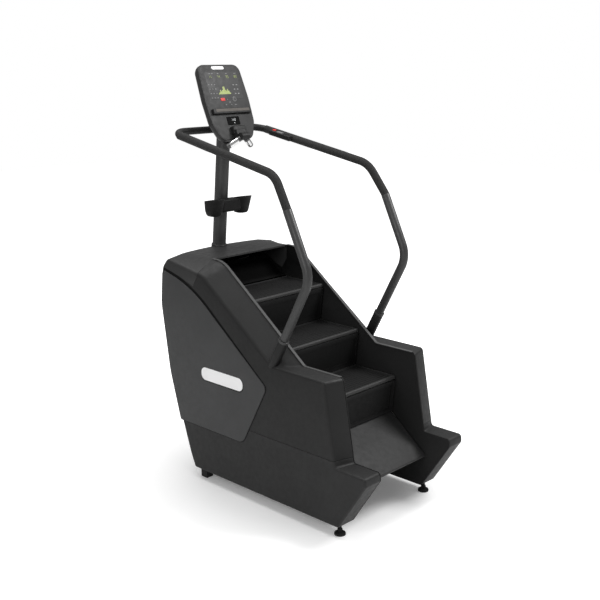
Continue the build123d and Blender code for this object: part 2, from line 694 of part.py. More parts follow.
def cup(x):
    outer = Pos(x, CUP_Y, CUP_TOP - CUP_DEPTH / 2) * Cone(CUP_BASE_RADIUS, CUP_RADIUS, CUP_DEPTH)
    bore = Cone(CUP_BASE_RADIUS - CUP_WALL, CUP_RADIUS - CUP_WALL, CUP_DEPTH)
    return outer, Pos(x, CUP_Y, CUP_TOP - CUP_DEPTH / 2 + CUP_WALL) * bore


def cup_holder():
    """Two cups on a bridge that wraps the front of the post."""
    bridge = block(-CUP_X, CUP_X, CUP_Y - 22, CUP_Y + 26, CUP_TOP - 60, CUP_TOP - 14)
    body, bores = bridge, []
    for x in (-CUP_X, CUP_X):
        outer, bore = cup(x)
        body += outer
        bores.append(bore)
    for bore in bores:
        body -= bore
    body -= rod_between(POST_LOW, POST_HIGH, POST_RADIUS + 0.1)
    save(body, "cup_holder")


HUB = (0.0, 428.0, 1812.0)
GRIP_END = (82.0, 466.0, 1758.0)


def front_grips():
    """The short pair of contact grips under the lower display."""
    stem = CONSOLE * (Pos(0, -176, 18) * Box(62, 40, 35.8))
    stem = fillet(stem.edges().filter_by(Axis.X), 6)
    hub = rod_between((-26, HUB[1], HUB[2]), (26, HUB[1], HUB[2]), 19)
    start = towards(HUB, GRIP_END, 24)
    grip = rod_between(start, GRIP_END, 14)
    grip -= hub + stem
    outer = rod_between(towards(HUB, GRIP_END, 40), towards(GRIP_END, HUB, 12), 15.2)
    plate = outer - rod_between(HUB, GRIP_END, 14.05)
    plate &= Pos(0, 0, 1) * block(0, 200, 300, HUB[1] + 24, 1700, 1900)
    save(stem + hub, "grip_bracket")
    save_pair(grip, "front_grips")
    save(group(both_sides(plate), rail_contact_plate()), "contact_plates")


def main():
    for number in (1, 2, 3):
        front_step(number)
    lowest_step()
    return_steps()
    emerging_step()
    shafts()
    bearings()
    alternator()
    drive_belt()
    frame()
    feet()
    housings()
    trims()
    handrail()
    rail_control()
    console_shells()
    console_details()
    console_post()
    cup_holder()
    front_grips()


main()
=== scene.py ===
from math import atan2, cos, pi, radians, sin, tan

import bmesh
import bpy
from mathutils import Matrix, Vector


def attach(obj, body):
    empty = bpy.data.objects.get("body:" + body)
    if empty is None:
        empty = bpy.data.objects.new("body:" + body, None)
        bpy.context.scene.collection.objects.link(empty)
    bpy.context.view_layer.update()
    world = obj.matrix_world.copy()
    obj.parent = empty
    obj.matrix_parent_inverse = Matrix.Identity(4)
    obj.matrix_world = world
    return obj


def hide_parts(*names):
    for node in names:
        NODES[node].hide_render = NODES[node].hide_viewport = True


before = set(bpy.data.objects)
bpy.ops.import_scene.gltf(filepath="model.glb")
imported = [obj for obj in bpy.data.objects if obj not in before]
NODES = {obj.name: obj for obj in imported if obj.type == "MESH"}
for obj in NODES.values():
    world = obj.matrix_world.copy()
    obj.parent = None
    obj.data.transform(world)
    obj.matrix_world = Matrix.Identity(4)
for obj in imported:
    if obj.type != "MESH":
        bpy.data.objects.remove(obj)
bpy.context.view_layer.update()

# Design-frame millimetres, as the part's source has them; the row frame is Y_SHIFT further back.
Y_SHIFT = 3.85
SHELL_IN, SHELL_OUT = 276.0, 385.0
PANEL_OUT = 390.0
BASE_SEAM, CAP_FRONT, CAP_REAR_SEAM = 387.0, 386.0, 1126.0
SHELL_BOTTOM, SHOULDER, CAP_TOP = 58.0, 763.0, 1200.0
REAR_BOW = 61.0
WELL_HALF, LIP = 270.0, 8.0
SEAM_GAP = 2.0
FAR = 2000.0

RAIL_X = 360.0
RAIL_FOOT = (RAIL_X, -68.0, 620.0)
RAIL_ELBOW = (RAIL_X, -383.0, 1228.0)
RAIL_JOIN = (RAIL_X, -236.0, 1535.0)
LOOP_ELBOW = (340.0, -137.0, 1683.0)
LOOP_CORNER = (308.0, 642.0, 1836.0)
RAIL_RADIUS, LOOP_RADIUS, GRIP_RADIUS = 22.0, 19.0, 21.0

CONSOLE_TILT = radians(21.8)
CONSOLE_CENTRE = (0.0, 546.0, 1980.0)
CONSOLE_DEPTH = 60.0
POST_LOW, POST_HIGH = (0.0, 652.0, 1090.0), (0.0, 582.0, 1885.0)
POST_RADIUS = 37.0

ARC_STEPS = 8


# ---------------------------------------------------------------- materials


def linear(level):
    """A display level from 0 to 255 as linear light."""
    c = level / 255
    return c / 12.92 if c < 0.04045 else ((c + 0.055) / 1.055) ** 2.4


def tone(level, warm=0.0):
    """A near-neutral colour of that display level; warm above 0 leans to red, below to blue."""
    base = linear(level)
    return (base * (1 + warm), base, base * (1 - warm), 1.0)


def link(tree, a, b):
    tree.links.new(a, b)


def noise(tree, coord, scale, detail, stretch=(1, 1, 1)):
    mapping = tree.nodes.new("ShaderNodeMapping")
    mapping.inputs["Scale"].default_value = stretch
    link(tree, coord, mapping.inputs["Vector"])
    node = tree.nodes.new("ShaderNodeTexNoise")
    node.inputs["Scale"].default_value = scale
    node.inputs["Detail"].default_value = detail
    link(tree, mapping.outputs["Vector"], node.inputs["Vector"])
    return node.outputs["Fac"]


def spread(tree, value, low_in, high_in, low_out, high_out):
    node = tree.nodes.new("ShaderNodeMapRange")
    names = ("From Min", "From Max", "To Min", "To Max")
    for name, number in zip(names, (low_in, high_in, low_out, high_out)):
        node.inputs[name].default_value = number
    link(tree, value, node.inputs["Value"])
    return node.outputs["Result"]


def blend_colour(tree, factor, low, high):
    node = tree.nodes.new("ShaderNodeMix")
    node.data_type = "RGBA"
    for socket, value in (("A", low), ("B", high)):
        target = [i for i in node.inputs if i.name == socket and i.type == "RGBA"][0]
        if isinstance(value, tuple):
            target.default_value = value
        else:
            link(tree, value, target)
    link(tree, factor, node.inputs[0])
    return [o for o in node.outputs if o.type == "RGBA"][0]


def add(tree, a, b, weight):
    node = tree.nodes.new("ShaderNodeMath")
    node.operation = "MULTIPLY_ADD"
    link(tree, b, node.inputs[0])
    node.inputs[1].default_value = weight
    link(tree, a, node.inputs[2])
    return node.outputs[0]


def finish(name, colour, rough=0.5, metallic=0.0, grain=900.0, bump=0.25, vary=0.14, wear=0.25,
           coat=0.0, specular=0.25, stretch=(1, 1, 1), pebble=0.0, lift_facing_up=0.0, painted_shade_above=None):
    """A procedural surface: blotched colour, smudged gloss, grain, rubbed edges and, where asked, a lighter
    tone where it faces up and painted shade above a height.
    """
    material = bpy.data.materials.new(name)
    material.use_nodes = True
    tree = material.node_tree
    shader = tree.nodes["Principled BSDF"]
    shader.inputs["Metallic"].default_value = metallic
    shader.inputs["Coat Weight"].default_value = coat
    shader.inputs["Specular IOR Level"].default_value = specular
    coord = tree.nodes.new("ShaderNodeTexCoord").outputs["Object"]
    patches = noise(tree, coord, 6, 4)
    smudge = noise(tree, coord, 42, 6, stretch)
    fine = noise(tree, coord, grain, 3, stretch)
    low = tuple(c * (1 - vary) for c in colour[:3]) + (1.0,)
    high = tuple(min(1.0, c * (1 + vary)) for c in colour[:3]) + (1.0,)
    base = blend_colour(tree, spread(tree, patches, 0.3, 0.7, 0, 1), low, high)
    speck = tuple(min(1.0, c * 1.25 + 0.004) for c in colour[:3]) + (1.0,)
    base = blend_colour(tree, spread(tree, fine, 0.52, 0.78, 0, 0.55), base, speck)
    if wear:
        pointed = tree.nodes.new("ShaderNodeNewGeometry").outputs["Pointiness"]
        rubbed = tuple(min(1.0, c * 1.7 + 0.02) for c in colour[:3]) + (1.0,)
        base = blend_colour(tree, spread(tree, pointed, 0.51, 0.6, 0, wear), base, rubbed)
    # Lighter where the surface faces up, by the given amount.
    if lift_facing_up:
        normal = tree.nodes.new("ShaderNodeSeparateXYZ")
        link(tree, tree.nodes.new("ShaderNodeNewGeometry").outputs["Normal"], normal.inputs[0])
        facing_up_tone = tuple(min(1.0, c * 1.3 + 0.012) for c in colour[:3]) + (1.0,)
        base = blend_colour(tree, spread(tree, normal.outputs["Z"], 0.5, 1.0, 0, lift_facing_up), base, facing_up_tone)
    # Painted shade: the colour goes towards black above the given heights, standing for the shade the cap
    # casts into the well.
    if painted_shade_above:
        height_at = tree.nodes.new("ShaderNodeSeparateXYZ")
        link(tree, coord, height_at.inputs[0])
        shade_tone = tuple(c * 0.15 for c in colour[:3]) + (1.0,)
        base = blend_colour(tree, spread(tree, height_at.outputs["Z"], *painted_shade_above, 0, 1), base, shade_tone)
    link(tree, base, shader.inputs["Base Color"])
    gloss = spread(tree, smudge, 0.25, 0.75, max(0.04, rough - 0.07), min(1.0, rough + 0.09))
    link(tree, gloss, shader.inputs["Roughness"])
    height = add(tree, fine, smudge, 0.35)
    if pebble:
        cells = tree.nodes.new("ShaderNodeTexVoronoi")
        cells.inputs["Scale"].default_value = pebble
        link(tree, coord, cells.inputs["Vector"])
        height = add(tree, height, cells.outputs["Distance"], 1.6)
    relief = tree.nodes.new("ShaderNodeBump")
    relief.inputs["Strength"].default_value = bump
    relief.inputs["Distance"].default_value = 0.0006
    link(tree, height, relief.inputs["Height"])
    link(tree, relief.outputs["Normal"], shader.inputs["Normal"])
    return material


def glowing(name, colour, strength):
    """A lit display mark with slightly uneven brightness."""
    material = finish(name, colour, rough=0.35, vary=0.1, wear=0.0)
    tree = material.node_tree
    shader = tree.nodes["Principled BSDF"]
    uneven = noise(tree, tree.nodes.new("ShaderNodeTexCoord").outputs["Object"], 260, 2)
    dim = tuple(c * 0.8 for c in colour[:3]) + (1.0,)
    lit = blend_colour(tree, spread(tree, uneven, 0.3, 0.7, 0, 1), dim, colour)
    link(tree, lit, shader.inputs["Emission Color"])
    shader.inputs["Emission Strength"].default_value = strength
    return material


SHELL = finish("shell_plastic", tone(27), rough=0.5, lift_facing_up=0.9)
BASE = finish("base_plastic", tone(34), rough=0.52, lift_facing_up=0.4)
CAP = finish("cap_plastic", tone(42), rough=0.47, lift_facing_up=0.3)
PANEL = finish("panel_plastic", tone(58, -0.012), rough=0.44, grain=1300, bump=0.18, vary=0.07)
CHANNEL_SHADOW = finish("channel_shadow", tone(12), rough=0.7, specular=0.1)
# The well walls darken above 0.92 m: painted shade under the cap.
WALL = finish("well_plastic", tone(19), rough=0.62, bump=0.3, painted_shade_above=(0.92, 1.1))
# The rim strips are real parts; their light tone is a painted highlight, the light caught along the band's
# inner edge.
TRIM_HIGHLIGHT = finish("rim_strip_highlight", tone(70), rough=0.4, vary=0.06)
TREAD = finish("tread_plastic", tone(26), rough=0.5, pebble=420, bump=0.2, lift_facing_up=0.15, wear=1.0)
# The same plastic as the other treads, made lighter: painted light for the lamps' light falling on the
# lowest tread.
LIT_FOLDED_TREAD = finish("folded_tread_lit_plastic", tone(40), rough=0.5, pebble=420, bump=0.2, wear=0.8)
DARK_STEP = finish("shaded_step", tone(6), rough=0.8, bump=0.2, specular=0.05)
RISER = finish("riser_plastic", tone(12), rough=0.65, pebble=500)
TUBE = finish("rail_paint", tone(66), rough=0.4, metallic=0.35, grain=1600, bump=0.2, vary=0.08)
POST = finish("post_paint", tone(66), rough=0.38, metallic=0.5, grain=1600, bump=0.2, vary=0.08)
GRIP = finish("grip_foam", tone(38, 0.01), rough=0.72, pebble=700, bump=0.5, vary=0.1)
LOOP = finish("loop_paint", tone(36), rough=0.5, grain=1400, vary=0.08)
BLACK = finish("black_plastic", tone(24), rough=0.5)
RUBBER = finish("rubber", tone(30), rough=0.8, pebble=500, bump=0.5)
CHROME = finish("polished_plate", tone(225), rough=0.14, metallic=1.0, bump=0.05, vary=0.05, grain=2200,
                stretch=(1, 0.08, 1))
STEEL = finish("machined_steel", tone(150), rough=0.32, metallic=1.0, bump=0.12, stretch=(0.1, 1, 1))
CUP = finish("cup_plastic", tone(15), rough=0.55, specular=0.2)
GRIP_METAL = finish("grip_casting", tone(84), rough=0.4, metallic=0.6, bump=0.15, grain=900)
CASTING = finish("cast_grey", tone(120), rough=0.42, metallic=0.8, bump=0.35, grain=500)
FRAME = finish("frame_paint", tone(38), rough=0.5, bump=0.35, grain=500)
CONSOLE_RIM = finish("console_rim", tone(44), rough=0.42)
CONSOLE_FACE = finish("console_face_plastic", tone(54), rough=0.48, specular=0.18, bump=0.15, grain=1400,
                      vary=0.06)
SCREEN = finish("display_film", tone(60), rough=0.45, specular=0.2, bump=0.05, vary=0.05, wear=0.0)
BLACK_GLASS = finish("black_glass", tone(20), rough=0.7, specular=0.04, bump=0.03, vary=0.1, wear=0.0)
RED = finish("red_plastic", (linear(205), linear(52), linear(48), 1.0), rough=0.4, vary=0.08)
WHITE = finish("white_plastic", tone(238), rough=0.35, vary=0.03, bump=0.1)
INSERT = finish("ledge_insert", tone(88, 0.1), rough=0.6, pebble=600)
BOARD = finish("circuit_board", (0.02, 0.16, 0.05, 1.0), rough=0.4, pebble=180, bump=0.6)
GREEN_LIGHT = glowing("readout_green", (0.26, 0.31, 0.09, 1.0), 0.25)
WHITE_LIGHT = glowing("readout_white", (0.6, 0.62, 0.62, 1.0), 0.25)
LEGEND = finish("key_legend", tone(132), rough=0.5, vary=0.1)


# ---------------------------------------------------------------- shapes


def at(x, y, z):
    """A design-frame point in the row frame, in metres."""
    return Vector((x, y + Y_SHIFT, z)) / 1000


def arc_round(points, radii, steps=ARC_STEPS):
    """The closed outline through points, each corner replaced by an arc of its radius."""
    outline = []
    count = len(points)
    for index, radius in enumerate(radii):
        corner = Vector(points[index])
        back = (Vector(points[index - 1]) - corner).normalized()
        ahead = (Vector(points[(index + 1) % count]) - corner).normalized()
        half = back.angle(ahead) / 2
        centre = corner + (back + ahead).normalized() * (radius / sin(half))
        start = corner + back * (radius / tan(half)) - centre
        end = corner + ahead * (radius / tan(half)) - centre
        turn = atan2(start.x * end.y - start.y * end.x, start.dot(end))
        for step in range(steps + 1):
            angle = turn * step / steps
            outline.append(centre + Matrix.Rotation(angle, 2) @ start)
    return outline


def inset(outline, distance):
    """The outline moved inwards (a negative distance moves it outwards)."""
    count = len(outline)
    area = sum(outline[i - 1].cross(outline[i]) for i in range(count))
    side = 1 if area > 0 else -1
    moved = []
    for index, point in enumerate(outline):
        along = outline[(index + 1) % count] - outline[index - 1]
        moved.append(point + Vector((-along.y, along.x)).normalized() * distance * side)
    return moved


def make_object(name, bm, material, smooth=32):
    mesh = bpy.data.meshes.new(name)
    bmesh.ops.recalc_face_normals(bm, faces=bm.faces)
    bm.to_mesh(mesh)
    bm.free()
    mesh.shade_smooth()
    mesh.set_sharp_from_angle(angle=radians(smooth))
    piece = bpy.data.objects.new(name, mesh)
    bpy.context.scene.collection.objects.link(piece)
    mesh.materials.append(material)
    return piece


def skin_rings(bm, rings):
    """Quads between rings of equally many points, and a face on each end."""
    grid = [[bm.verts.new(point) for point in ring] for ring in rings]
    for low, high in zip(grid, grid[1:]):
        for index in range(len(low)):
            after = (index + 1) % len(low)
            bm.faces.new((low[index], low[after], high[after], high[index]))
    bm.faces.new(grid[0])
    bm.faces.new(grid[-1])


def loft(name, rings, material, smooth=32):
    bm = bmesh.new()
    skin_rings(bm, rings)
    return make_object(name, bm, material, smooth)


def rim_levels(low, high, round_low, round_high, steps=5):
    """(height, inset) pairs that round both rims of a slab."""
    arc = [(1 - cos(pi / 2 * s / steps), 1 - sin(pi / 2 * s / steps)) for s in range(steps + 1)]
    bottom = [(low + round_low * rise, round_low * depth) for rise, depth in arc]
    top = [(high - round_high * rise, round_high * depth) for rise, depth in reversed(arc)]
    return bottom + top


def slab_rings(outline, levels, place):
    return [[place(p.x, p.y, height) for p in inset(outline, depth)] for height, depth in levels]


def slab(name, outline, low, high, rounds, place, material):
    """A plate of that outline with rounded rims; place maps (u, v, height) to the row frame."""
    levels = rim_levels(low, high, *rounds)
    return loft(name, slab_rings(outline, levels, place), material)


def oblong(u, v, width, height, radius):
    """A rectangle about (u, v) with rounded corners."""
    left, right = u - width / 2, u + width / 2
    low, high = v - height / 2, v + height / 2
    corners = [(left, low), (right, low), (right, high), (left, high)]
    return arc_round(corners, [radius] * 4)


def disc(u, v, radius, steps=32):
    angles = [2 * pi * k / steps for k in range(steps)]
    return [Vector((u + radius * cos(angle), v + radius * sin(angle))) for angle in angles]


def bent_path(points, bends, steps=14):
    """A 3-D path through points, with an arc of the given radius at each inner corner."""
    path = [Vector(points[0])]
    for index, radius in enumerate(bends, start=1):
        corner = Vector(points[index])
        back = (Vector(points[index - 1]) - corner).normalized()
        ahead = (Vector(points[index + 1]) - corner).normalized()
        half = back.angle(ahead) / 2
        centre = corner + (back + ahead).normalized() * (radius / sin(half))
        start = corner + back * (radius / tan(half)) - centre
        axis = start.cross(back * -1)
        for step in range(steps + 1):
            turn = (pi - 2 * half) * step / steps
            path.append(centre + Matrix.Rotation(turn, 3, axis) @ start)
    path.append(Vector(points[-1]))
    return path


def sweep_rings(path, radii, sides=28):
    """Circles along a path, without twist. Points and radii are in design millimetres."""
    rings = []
    normal = None
    for index, point in enumerate(path):
        ahead = path[min(index + 1, len(path) - 1)] - point
        behind = point - path[max(index - 1, 0)]
        along = (ahead.normalized() + behind.normalized()).normalized()
        if normal is None:
            normal = along.orthogonal().normalized()
        normal = (normal - along * normal.dot(along)).normalized()
        side = along.cross(normal)
        ring = []
        for k in range(sides):
            angle = 2 * pi * k / sides
            ring.append(at(*(point + (normal * cos(angle) + side * sin(angle)) * radii[index])))
        rings.append(ring)
    return rings


def rod(name, path, radius, material, end=2.0, sides=28):
    """A round bar along a path with softened ends."""
    start = (path[1] - path[0]).normalized()
    stop = (path[-1] - path[-2]).normalized()
    points = [path[0], path[0] + start * end * 0.3, path[0] + start * end] + path[1:-1]
    points += [path[-1] - stop * end, path[-1] - stop * end * 0.3, path[-1]]
    tip = [radius - end, radius - end * 0.3]
    radii = tip + [radius] * (len(points) - 4) + tip[::-1]
    return loft(name, sweep_rings(points, radii, sides), material)


def towards(start, end, distance):
    a, b = Vector(start), Vector(end)
    return a + (b - a).normalized() * distance


def baked(piece):
    """The piece with its modifiers applied."""
    evaluated = piece.evaluated_get(bpy.context.evaluated_depsgraph_get())
    mesh = bpy.data.meshes.new_from_object(evaluated)
    piece.modifiers.clear()
    piece.data = mesh
    return piece


def box_cutter(x, y, z):
    bm = bmesh.new()
    corners = [at(a, b, c) for a in x for b in y for c in z]
    verts = [bm.verts.new(c) for c in corners]
    for face in ((0, 1, 3, 2), (4, 6, 7, 5), (0, 4, 5, 1), (2, 3, 7, 6), (0, 2, 6, 4), (1, 5, 7, 3)):
        bm.faces.new([verts[i] for i in face])
    return make_object("cutter", bm, BLACK)


def trim(piece, cutter, operation):
    modifier = piece.modifiers.new("cut", "BOOLEAN")
    modifier.operation = operation
    modifier.object = cutter
    modifier.solver = "EXACT"
    baked(piece)
    bpy.data.objects.remove(cutter)
    return piece


def soften(piece, width=1.2, segments=2, angle=40):
    """A small bevel on the edges that are still sharp."""
    bevel = piece.modifiers.new("soft_edges", "BEVEL")
    bevel.width = width / 1000
    bevel.segments = segments
    bevel.limit_method = "ANGLE"
    bevel.angle_limit = radians(angle)
    bevel.harden_normals = True
    return piece


def show(piece, body, *nodes, slot=None):
    """Puts a finished piece on its body in place of the named CAD nodes."""
    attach(piece, body)
    if nodes:
        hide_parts(*nodes)
    return piece


def mirror_copy(piece, name):
    mesh = piece.data.copy()
    bm = bmesh.new()
    bm.from_mesh(mesh)
    bmesh.ops.scale(bm, vec=(-1, 1, 1), verts=bm.verts)
    bmesh.ops.reverse_faces(bm, faces=bm.faces)
    bm.to_mesh(mesh)
    bm.free()
    copy = bpy.data.objects.new(name, mesh)
    bpy.context.scene.collection.objects.link(copy)
    return copy


def joined(name, *pieces):
    """Several meshes as one piece, which keeps each one's material."""
    with bpy.context.temp_override(
        active_object=pieces[0], object=pieces[0],
        selected_objects=list(pieces), selected_editable_objects=list(pieces),
    ):
        bpy.ops.object.join()
    pieces[0].name = name
    return pieces[0]


def pair(piece, name):
    return joined(name, piece, mirror_copy(piece, name + "_left"))


# ---------------------------------------------------------------- housings

TOE_POINTS = [(-585, SHELL_BOTTOM), (-752, 318), (-748, 358)]
REAR_POINTS = [(667, 1135), (685, 940), (627, 569), (478, 136), (444, SHELL_BOTTOM)]
REAR_RADII = [50, 300, 500, 500, 20]
SIDE_RADII = [20, 18, 18, 14, 22, 30, 150, 32] + REAR_RADII
INNER_BODY = [(-592, 358), (-518, SHOULDER), (-269, SHOULDER), (305, CAP_TOP)]
OUTER_BODY = [(-564, 358), (-490, SHOULDER), (-152, SHOULDER), (351, 1132), (628, 1184)]


def bow(x):
    return REAR_BOW * (1 - (x / SHELL_OUT) ** 2)


def inner_outline(x):
    back = [(y + bow(x), z) for y, z in [(596, CAP_TOP)] + REAR_POINTS]
    return arc_round(TOE_POINTS + INNER_BODY + back, SIDE_RADII)


def outer_outline():
    return arc_round(TOE_POINTS + OUTER_BODY + REAR_POINTS, SIDE_RADII)


def side_section(x, depth):
    """The housing's outline at x, blended from its inner to its outer face."""
    share = (x - SHELL_IN) / (SHELL_OUT - SHELL_IN)
    blend = [a.lerp(b, share) for a, b in zip(inner_outline(SHELL_IN), outer_outline())]
    return inset(blend, depth)


def side_hull(inner_round=5.0, outer_round=13.0):
    rings = []
    for x, depth in rim_levels(SHELL_IN + 0.1, SHELL_OUT, inner_round, outer_round, 6):
        rings.append([at(x, p.x, p.y) for p in side_section(x, depth)])
    return loft("side_hull", rings, SHELL)


CAP_SEAM_LINE = [
    (CAP_FRONT, 1300), (CAP_FRONT, 1122), (420, 1068), (521, 1102),
    (610, CAP_REAR_SEAM), (800, CAP_REAR_SEAM), (800, 1300),
]


def cap_zone(gap):
    """A block across the housing whose lower edge is the cap's seam, moved out by the gap."""
    outline = inset([Vector(p) for p in CAP_SEAM_LINE], -gap)
    return loft("cutter", [[at(x, p.x, p.y) for p in outline] for x in (-FAR, FAR)], BLACK)


def housing_shells():
    upper = side_hull()
    trim(upper, box_cutter((0, FAR), (-FAR, FAR), (-10, BASE_SEAM + SEAM_GAP)), "DIFFERENCE")
    trim(upper, cap_zone(SEAM_GAP), "DIFFERENCE")
    base = side_hull()
    trim(base, box_cutter((0, FAR), (-FAR, FAR), (BASE_SEAM, FAR)), "DIFFERENCE")
    base.data.materials.clear()
    base.data.materials.append(BASE)
    show(soften(pair(upper, "housing_shells")), "machine", "side_shells")
    show(soften(pair(base, "base_covers")), "machine", "base_shells")


def cap_section(x):
    """The whole housing's outline at x, from the bowed middle to the sloping sides."""
    if abs(x) <= SHELL_IN:
        return inner_outline(x)
    return side_section(abs(x), 0)


def cap_hull(edge=13.0, steps=6):
    middle = [SHELL_IN * k / 10 for k in range(-10, 11)]
    outer = [SHELL_IN + (SHELL_OUT - edge - SHELL_IN) * k / 3 for k in (1, 2, 3)]
    levels = [(x, 0.0) for x in outer]
    for step in range(1, steps + 1):
        angle = pi / 2 * step / steps
        levels.append((SHELL_OUT - edge + edge * sin(angle), edge * (1 - cos(angle))))
    rings = []
    for x, depth in [(-x, d) for x, d in reversed(levels)] + [(x, 0.0) for x in middle] + levels:
        rings.append([at(x, p.x, p.y) for p in inset(cap_section(x), depth)])
    return loft("cap_hull", rings, CAP)


def collar_ring():
    """The raised ring that closes the cap round the post."""
    lean = (Vector(POST_HIGH) - Vector(POST_LOW)).normalized()
    foot = Vector(POST_LOW) + lean * ((CAP_TOP - POST_LOW[2]) / lean.z)
    heights = [-6, 4, 8, 10.5, 12, 12.2]
    radii = [43, 43, 42.5, 41, 39, POST_RADIUS + 0.3]
    path = [foot + lean * height for height in heights]
    return loft("collar", sweep_rings(path, radii, 48), CAP)


def top_cap():
    cap = trim(cap_hull(), cap_zone(0), "INTERSECT")
    trim(cap, box_cutter((-WELL_HALF, WELL_HALF), (300, 640), (900, CAP_TOP - LIP)), "DIFFERENCE")
    show(soften(joined("top_cover", cap, collar_ring()), 2.0, 3), "machine", "top_cap")


PANEL_POINTS = [
    (651, 1120), (430, 1060), (-118, 642), (55, 310), (546, 310), (622, 569), (679, 940), (664, 1090),
]
CHANNEL_POINTS = [
    (655, 1136), (424, 1079), (-123, 643), (54, 307), (548, 307), (625, 569), (682, 940), (668, 1096),
]
PANEL_RADII = [12, 750, 34, 50, 14, 500, 300, 30]
BADGE_AT, BADGE_SIZE = (205, 617), (312, 68)


def right_side(u, v, height):
    return at(height, u, v)


def side_panels():
    outline = arc_round(PANEL_POINTS, PANEL_RADII)
    panel = slab("panel", outline, SHELL_OUT - 1, PANEL_OUT, (0.5, 3.5), right_side, PANEL)
    # A near-black sheet just proud of the shell and wider than the panel: painted shadow in the channel
    # round the panel.
    shadow_outline = arc_round(CHANNEL_POINTS, PANEL_RADII)
    shadow = slab("panel_channel_shadow", shadow_outline, SHELL_OUT - 1, SHELL_OUT + 0.4, (0.2, 0.2), right_side, CHANNEL_SHADOW)
    show(pair(joined("panel", panel, shadow), "side_covers"), "machine", "side_panels")
    plate = oblong(*BADGE_AT, *BADGE_SIZE, 0.45 * BADGE_SIZE[1])
    badge = slab("badge", plate, PANEL_OUT - 0.5, PANEL_OUT + 1.9, (0.3, 1.2), right_side, WHITE)
    # Black backing behind the plate, set lower than it so that its lower edge is a painted shadow under the
    # badge.
    shade = oblong(BADGE_AT[0], BADGE_AT[1] - 4, BADGE_SIZE[0] + 8, BADGE_SIZE[1] + 6, 0.45 * BADGE_SIZE[1])
    rim = slab("badge_backing_shadow", shade, PANEL_OUT - 0.5, PANEL_OUT + 0.6, (0.2, 0.5), right_side, BLACK)
    side = pair(joined("badge", badge, rim), "blank_side_badges")
    pill = slab("pill", oblong(-10, 191, 86, 18, 8.5), 0, 2.0, (0.2, 1.0), on_console, WHITE)
    show(joined("blank_plates", side, pill), "machine", "blank_badges")


# ---------------------------------------------------------------- handrail


def rail_screws():
    """Two small screw heads behind each lower tube, under the sleeve."""
    along = (Vector(RAIL_ELBOW) - Vector(RAIL_JOIN)).normalized()
    out = along.cross(Vector((1, 0, 0))).normalized()
    out = out if out.y > 0 else -out
    heads = []
    for distance in (22, 44):
        foot = Vector(RAIL_JOIN) + along * distance + out * (RAIL_RADIUS - 2)
        heads.append(rod("screw", [foot, foot + out * 2, foot + out * 4.4], 4.2, WHITE, 0.8, 16))
    return joined("screw", *heads)


def handrail():
    lower = bent_path([RAIL_FOOT, RAIL_ELBOW, tuple(towards(RAIL_JOIN, RAIL_ELBOW, 4))], [135])
    show(pair(rod("rail", lower, RAIL_RADIUS, TUBE), "lower_rail_tubes"), "machine", "lower_rails")
    low, high = towards(RAIL_FOOT, RAIL_ELBOW, 150), towards(RAIL_FOOT, RAIL_ELBOW, 322)
    collar = rod("collar", [low, (low + high) / 2, high], RAIL_RADIUS + 4.5, BLACK, 2.5)
    rim_path = [towards(high, low, distance) for distance in (14, 8, 1)]
    rim = rod("rim", rim_path, RAIL_RADIUS + 5.5, TUBE, 1.5)
    show(pair(joined("collar", collar, rim), "rail_collars"), "machine", "rail_sockets")
    show(pair(rail_screws(), "rail_screws"), "machine", slot="lower_rails")
    start = tuple(towards(RAIL_JOIN, RAIL_ELBOW, 60))
    right = [start, RAIL_JOIN, LOOP_ELBOW, LOOP_CORNER]
    left = [(-x, y, z) for x, y, z in reversed(right)]
    loop = bent_path(right + left, [150, 130, 90, 90, 130, 150])
    show(rod("upper_rail_loop", loop, LOOP_RADIUS, LOOP), "machine", "rail_loop")
    sleeve_start = tuple(towards(RAIL_JOIN, RAIL_ELBOW, 2))
    sleeve_end = tuple(towards(LOOP_CORNER, LOOP_ELBOW, 60))
    sleeve = bent_path([sleeve_start, RAIL_JOIN, LOOP_ELBOW, sleeve_end], [150, 130])
    show(pair(rod("sleeve", sleeve, GRIP_RADIUS, GRIP, 3), "grip_sleeves"), "machine", "rail_grips")


# ---------------------------------------------------------------- console

CONSOLE_POINTS = [
    (-146, 211), (146, 211), (157, 20), (151, -110), (108, -204), (-108, -204), (-151, -110), (-157, 20),
]
CONSOLE_RADII = [46, 46, 300, 70, 52, 52, 70, 300]
STOP_AT, START_AT = (-32.0, 18.0), (50.0, 18.0)


def on_console(u, v, height):
    """Console coordinates: u across, v up the face, height out of it."""
    up = Vector((0, sin(CONSOLE_TILT), cos(CONSOLE_TILT)))
    out = Vector((0, -cos(CONSOLE_TILT), sin(CONSOLE_TILT)))
    return at(*(Vector(CONSOLE_CENTRE) + Vector((u, 0, 0)) + up * v + out * height))


SEGMENTS = {
    0: "abcdef", 1: "bc", 2: "abged", 3: "abgcd", 4: "fgbc",
    5: "afgcd", 6: "afgedc", 7: "abc", 8: "abcdefg",
}


def digit_bars(number, u, v, width, height, thick):
    """The lit bars of a seven-segment digit as (centre u, centre v, width, height)."""
    half, quarter = height / 2, height / 4
    bars = {
        "a": (0, half, width, thick), "g": (0, 0, width, thick), "d": (0, -half, width, thick),
        "b": (width / 2, quarter, thick, half), "c": (width / 2, -quarter, thick, half),
        "f": (-width / 2, quarter, thick, half), "e": (-width / 2, -quarter, thick, half),
    }
    return [(u + bars[s][0], v + bars[s][1], bars[s][2], bars[s][3]) for s in SEGMENTS[number]]


def marks(name, bars, height, material):
    """Many small flat marks on the console as one piece."""
    bm = bmesh.new()
    for u, v, wide, tall in bars:
        outline = oblong(u, v, wide, tall, min(wide, tall) * 0.25)
        skin_rings(bm, slab_rings(outline, rim_levels(height - 0.5, height, 0.05, 0.15, 1), on_console))
    return make_object(name, bm, material)


